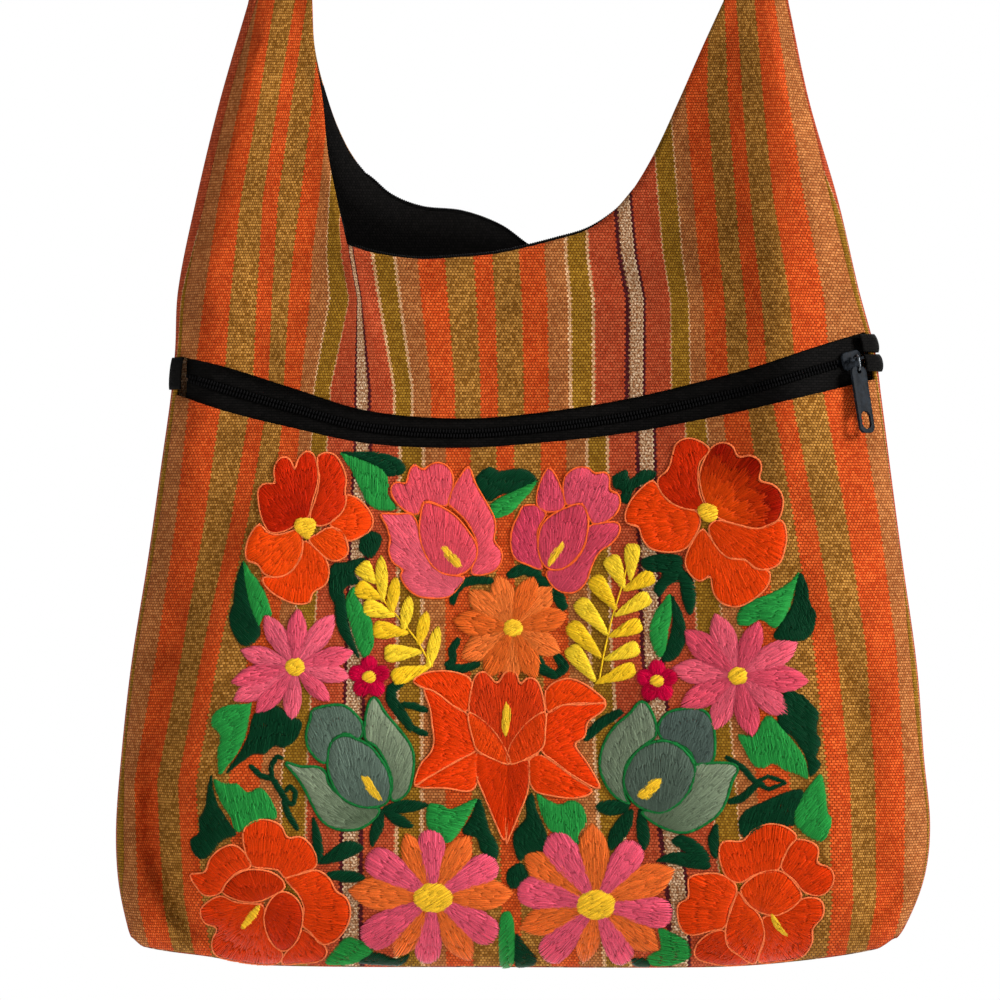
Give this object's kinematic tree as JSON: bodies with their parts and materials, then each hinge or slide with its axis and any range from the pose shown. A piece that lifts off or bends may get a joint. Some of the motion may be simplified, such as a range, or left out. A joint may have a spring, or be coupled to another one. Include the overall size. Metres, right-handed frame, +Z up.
{
  "type": "embroidered hobo bag",
  "caption": "Soft hobo shoulder bag of striped handwoven cotton with a zipped, flower-embroidered front pocket, black lining, scooped zip mouth and a loop strap.",
  "frame": {"origin": "underside of the strap at its crown, where the bag hangs", "axes": "+Z up, -Y out of the embroidered front, +X to the right seen from the front, where the pocket zip's slider is"},
  "size_m": [0.4067, 0.0869, 0.6953],
  "materials": {
    "striped_cotton": "warp-faced handwoven cotton in orange, mustard, olive, tan and pink stripes",
    "embroidery_thread": "satin-stitched rayon thread in orange, pink, yellow, grey-green and green",
    "lining_cotton": "plain black cotton",
    "zip_tape": "black woven polyester tape",
    "zip_coil": "black nylon coil, slight sheen",
    "zip_metal": "blue-black lacquer",
    "bail_steel": "dark plated wire"
  },
  "bodies": {
    "bag": {"front_upper_panel": "striped_cotton", "front_pocket_panel": "striped_cotton", "back_panel": "striped_cotton", "lining_front": "lining_cotton", "lining_back": "lining_cotton", "shoulder_strap": "striped_cotton", "pocket_zip_tape_upper": "zip_tape", "pocket_zip_tape_lower": "zip_tape", "pocket_zip_chain": "zip_coil", "zip_end_left": "zip_tape", "zip_end_right_lower": "zip_tape", "zip_end_right_upper": "zip_tape", "mouth_zip_tape_front": "zip_tape", "mouth_zip_coil_front": "zip_coil", "mouth_zip_tape_back": "zip_tape", "mouth_zip_coil_back": "zip_coil", "pocket_zip_slider": "zip_metal", "mouth_zip_slider": "zip_metal"},
    "pull": {"pocket_zip_bail": "bail_steel", "pocket_zip_pull": "zip_metal"}
  },
  "joints": [
    {"name": "pull_swing", "type": "hinge", "parent": "bag", "child": "pull", "pos_m": [0.16722, -0.02224, -0.39001], "axis": [-0.8361, -0.5485, 0], "range_deg": [0, 150]}
  ]
}
